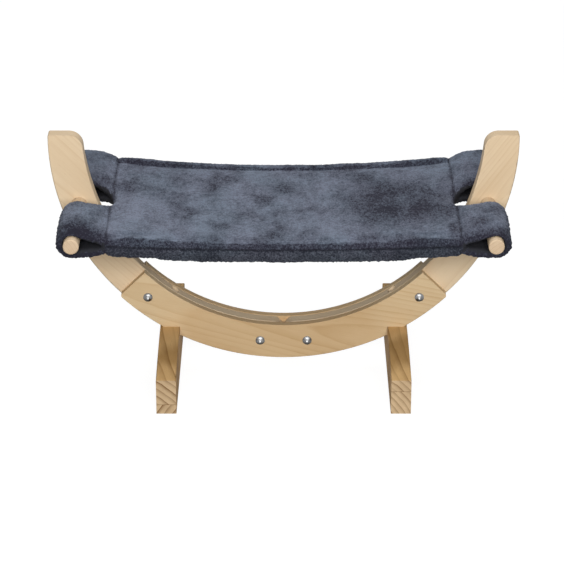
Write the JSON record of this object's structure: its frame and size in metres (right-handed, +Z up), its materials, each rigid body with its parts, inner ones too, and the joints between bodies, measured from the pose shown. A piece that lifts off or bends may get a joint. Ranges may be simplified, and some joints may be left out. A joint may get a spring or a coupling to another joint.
{
  "type": "cat hammock",
  "caption": "Cat hammock with a pine arc stand on two crossing legs and a padded dark plush sling hung on two dowels",
  "frame": {"origin": "middle of the bounding box at floor level, between the two legs", "axes": "+X along the sling from dowel to dowel, +Y from front to back, +Z up"},
  "size_m": [0.731, 0.366, 0.3945],
  "materials": {
    "pine_arm": "clear matt varnish",
    "pine_plate": "clear matt varnish",
    "pine_leg": "clear matt varnish",
    "dowel_wood": "sanded",
    "plush_top": "short plush pile",
    "plush_under": "short plush pile",
    "wadding": "loose fibre",
    "plated_steel": "bright zinc plate"
  },
  "bodies": {
    "stand": {"front_plate": "pine_plate", "rear_plate": "pine_plate", "left_arm": "pine_arm", "right_arm": "pine_arm", "left_leg": "pine_leg", "right_leg": "pine_leg", "frame_bolts": "plated_steel", "frame_nuts": "plated_steel", "leg_bolts": "plated_steel", "leg_washers": "plated_steel", "leg_inserts": "plated_steel", "sling_top": "plush_top", "sling_wadding": "wadding", "sling_underside": "plush_under", "left_front_sleeve": "plush_top", "left_rear_sleeve": "plush_top", "right_front_sleeve": "plush_top", "right_rear_sleeve": "plush_top"},
    "left_rod": {"left_dowel": "dowel_wood"},
    "right_rod": {"right_dowel": "dowel_wood"}
  },
  "joints": [
    {"name": "left_dowel_slide", "type": "slide", "parent": "stand", "child": "left_rod", "axis": [0, -1, 0], "range_m": [0, 0.36]},
    {"name": "right_dowel_slide", "type": "slide", "parent": "stand", "child": "right_rod", "axis": [0, -1, 0], "range_m": [0, 0.36]}
  ]
}
